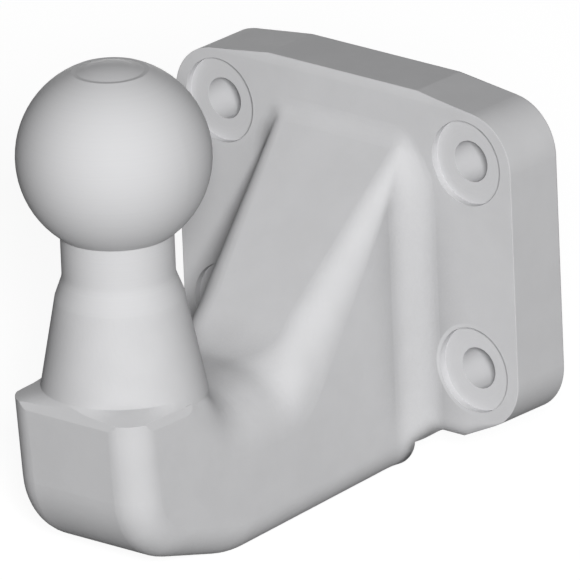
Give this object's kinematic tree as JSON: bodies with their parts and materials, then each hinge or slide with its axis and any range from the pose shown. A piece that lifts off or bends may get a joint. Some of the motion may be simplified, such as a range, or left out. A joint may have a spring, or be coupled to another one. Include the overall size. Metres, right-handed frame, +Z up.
{
  "type": "flange tow ball",
  "caption": "Forged coupling ball on a cranked arm with a bolt-on flange, made to carry a trailer's coupling head behind a vehicle.",
  "frame": {"origin": "centre of the bolt hole pattern, on the flange's back face", "axes": "+Y out of the flange's back face towards the vehicle, the ball stands towards -Y, +Z up along the ball's axis, X across the flange"},
  "size_m": [0.1126, 0.1302, 0.1339],
  "materials": {
    "coated_steel": "light grey matte coat over forged steel, smoother on the turned ball and neck"
  },
  "bodies": {
    "root": {"flange_tow_ball": "coated_steel"}
  },
  "joints": []
}
